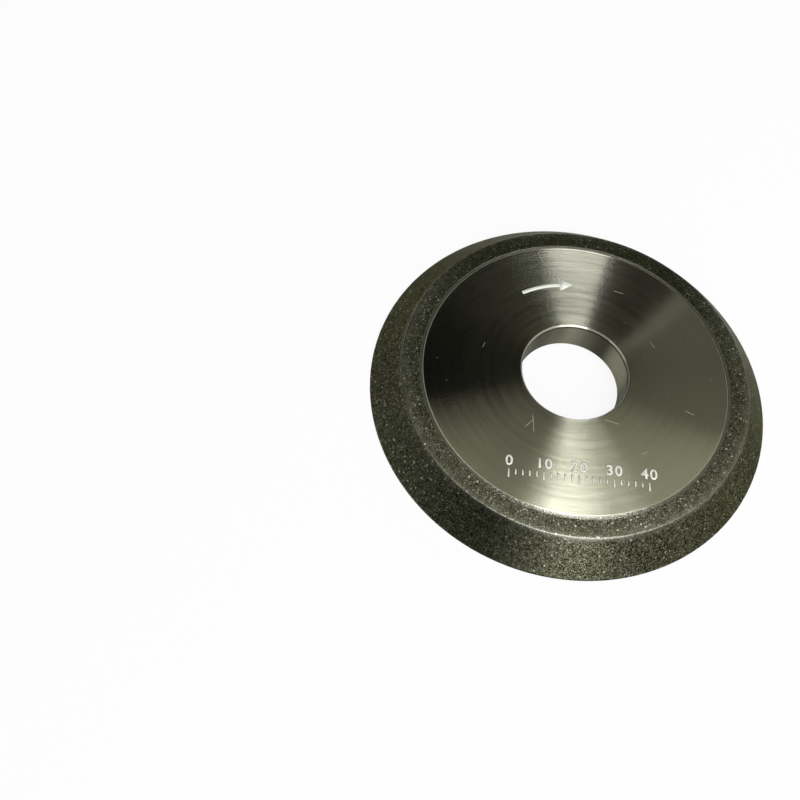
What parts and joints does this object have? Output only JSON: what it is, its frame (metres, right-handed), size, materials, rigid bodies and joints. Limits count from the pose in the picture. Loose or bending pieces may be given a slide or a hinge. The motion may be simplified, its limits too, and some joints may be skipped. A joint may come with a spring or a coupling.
{
  "type": "diamond grinding wheel",
  "caption": "Bevelled resin-bond diamond grinding wheel: a turned steel disc with a central spindle bore and an abrasive rim.",
  "frame": {"origin": "centre of the bore at the wheel's back face, which lies on the ground", "axes": "+Z along the bore axis, from the large back face to the front face"},
  "size_m": [0.124, 0.124, 0.01],
  "materials": {
    "core": "fine circular turning marks, polished",
    "backing_ring": "granular filled resin without diamond",
    "abrasive_ring": "rough resin bond with pale diamond grit"
  },
  "bodies": {
    "root": {"core": "core", "backing_ring": "backing_ring", "abrasive_ring": "abrasive_ring"}
  },
  "joints": []
}
